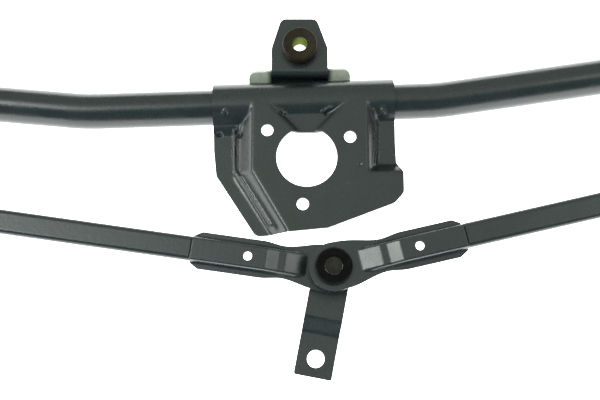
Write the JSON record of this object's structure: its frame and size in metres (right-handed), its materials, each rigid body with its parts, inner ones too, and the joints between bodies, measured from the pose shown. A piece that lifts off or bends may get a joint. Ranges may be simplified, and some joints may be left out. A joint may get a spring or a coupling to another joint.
{
  "type": "windshield wiper linkage",
  "caption": "Windshield wiper linkage: bent carrier tube with motor bracket and rubber-bushed ear, spindles and levers at its ends, drive rods and a crank arm on a shared ball stud.",
  "frame": {"origin": "the motor shaft's axis where it crosses the face that the motor seats on", "axes": "+X along the linkage towards the right spindle, +Y from the drive rods to the carrier tube, +Z away from the motor, parallel to the spindles"},
  "size_m": [0.7825, 0.2246, 0.1184],
  "materials": {
    "dark_coat": "satin",
    "brown_rubber": "matt",
    "black_rubber": "matt",
    "yellow_zinc": "satin",
    "socket_plastic": "satin",
    "ball_steel": "greased",
    "spindle_steel": "turned",
    "spring_steel": "oiled",
    "cast_aluminium": "as cast",
    "bearing_bronze": "sintered"
  },
  "bodies": {
    "frame": {"carrier_tube": "dark_coat", "motor_bracket": "dark_coat", "mounting_ear": "dark_coat", "ear_bush": "brown_rubber", "ear_sleeve": "yellow_zinc", "left_housing": "cast_aluminium", "left_lower_bush": "bearing_bronze", "left_upper_bush": "bearing_bronze", "left_seal_ring": "black_rubber", "left_lug_grommet": "brown_rubber", "left_lug_sleeve": "yellow_zinc", "right_housing": "cast_aluminium", "right_lower_bush": "bearing_bronze", "right_upper_bush": "bearing_bronze", "right_seal_ring": "black_rubber", "right_lug_grommet": "brown_rubber", "right_lug_sleeve": "yellow_zinc"},
    "left_arm": {"left_lever": "dark_coat", "left_lever_stud": "ball_steel", "left_spindle": "spindle_steel", "left_thrust_washer": "spindle_steel", "left_circlip": "spring_steel"},
    "right_arm": {"right_lever": "dark_coat", "right_lever_stud": "ball_steel", "right_spindle": "spindle_steel", "right_thrust_washer": "spindle_steel", "right_circlip": "spring_steel"},
    "left_rod": {"left_rod_tube": "dark_coat", "left_rod_inner_end": "dark_coat", "left_rod_outer_end": "dark_coat", "left_rod_inner_socket": "socket_plastic", "left_rod_outer_socket": "socket_plastic"},
    "right_rod": {"right_rod_tube": "dark_coat", "right_rod_inner_end": "dark_coat", "right_rod_outer_end": "dark_coat", "right_rod_inner_socket": "socket_plastic", "right_rod_outer_socket": "socket_plastic"},
    "crank": {"crank_arm": "dark_coat", "crank_ball_stud": "ball_steel"}
  },
  "joints": [
    {"name": "left_spindle_turn", "type": "hinge", "parent": "frame", "child": "left_arm", "pos_m": [-0.31271, 0.0473, 0], "axis": [0, 0, 1], "range_deg": [-54, 28]},
    {"name": "right_spindle_turn", "type": "hinge", "parent": "frame", "child": "right_arm", "pos_m": [0.36784, 0.08184, 0], "axis": [0, 0, 1], "range_deg": [-54, 28]},
    {"name": "left_rod_pivot", "type": "hinge", "parent": "left_arm", "child": "left_rod", "pos_m": [-0.31271, -0.0227, 0.024], "axis": [0, 0, 1], "range_deg": [-28, 54]},
    {"name": "right_rod_pivot", "type": "hinge", "parent": "right_arm", "child": "right_rod", "pos_m": [0.36784, 0.01184, 0.0365], "axis": [0, 0, 1], "range_deg": [-28, 54]},
    {"name": "crank_swing", "type": "hinge", "parent": "left_rod", "child": "crank", "pos_m": [0.014, -0.0692, 0.024], "axis": [0, 0, 1], "continuous": true}
  ],
  "couplings": [
    {"joint": "right_spindle_turn", "follows": "left_spindle_turn", "ratio": 1},
    {"joint": "left_rod_pivot", "follows": "left_spindle_turn", "ratio": -1},
    {"joint": "right_rod_pivot", "follows": "left_spindle_turn", "ratio": -1}
  ]
}
